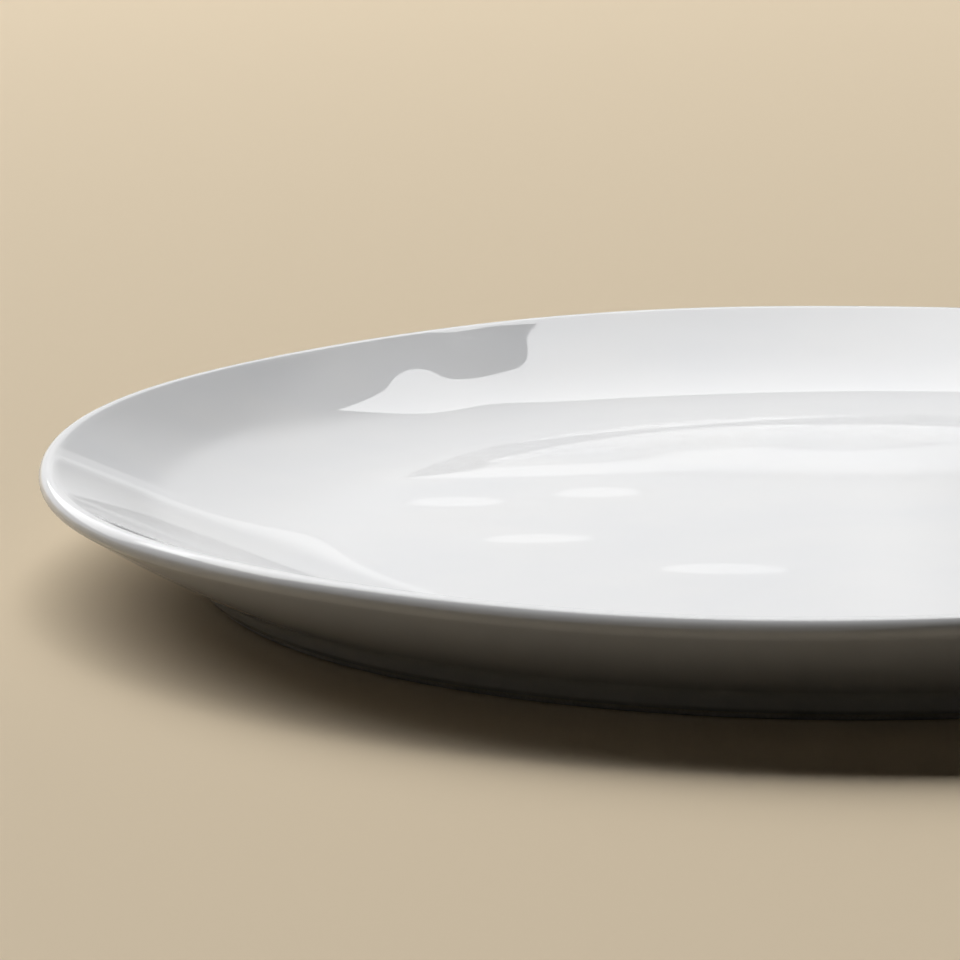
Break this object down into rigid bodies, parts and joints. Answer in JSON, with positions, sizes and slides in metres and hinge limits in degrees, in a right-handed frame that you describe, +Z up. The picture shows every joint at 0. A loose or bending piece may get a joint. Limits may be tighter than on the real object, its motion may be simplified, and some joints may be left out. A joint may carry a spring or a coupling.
{
  "type": "dinner plate",
  "caption": "Round coupe dinner plate in white glazed porcelain: a broad shallow well, a wall that sweeps up to a softly uneven rounded lip, and a low bare foot ring to stand on.",
  "frame": {"origin": "on the table, under the middle of the plate", "axes": "+Z up, along the plate's axis; the plate is round, so X and Y have no special direction"},
  "size_m": [0.2698, 0.2698, 0.0215],
  "materials": {
    "biscuit_porcelain": "matt, fine-grained, wiped bare of glaze",
    "white_glaze": "high gloss, slightly uneven"
  },
  "bodies": {
    "root": {"porcelain_body": "biscuit_porcelain", "glaze_coat": "white_glaze", "recess_glaze": "white_glaze"}
  },
  "joints": []
}
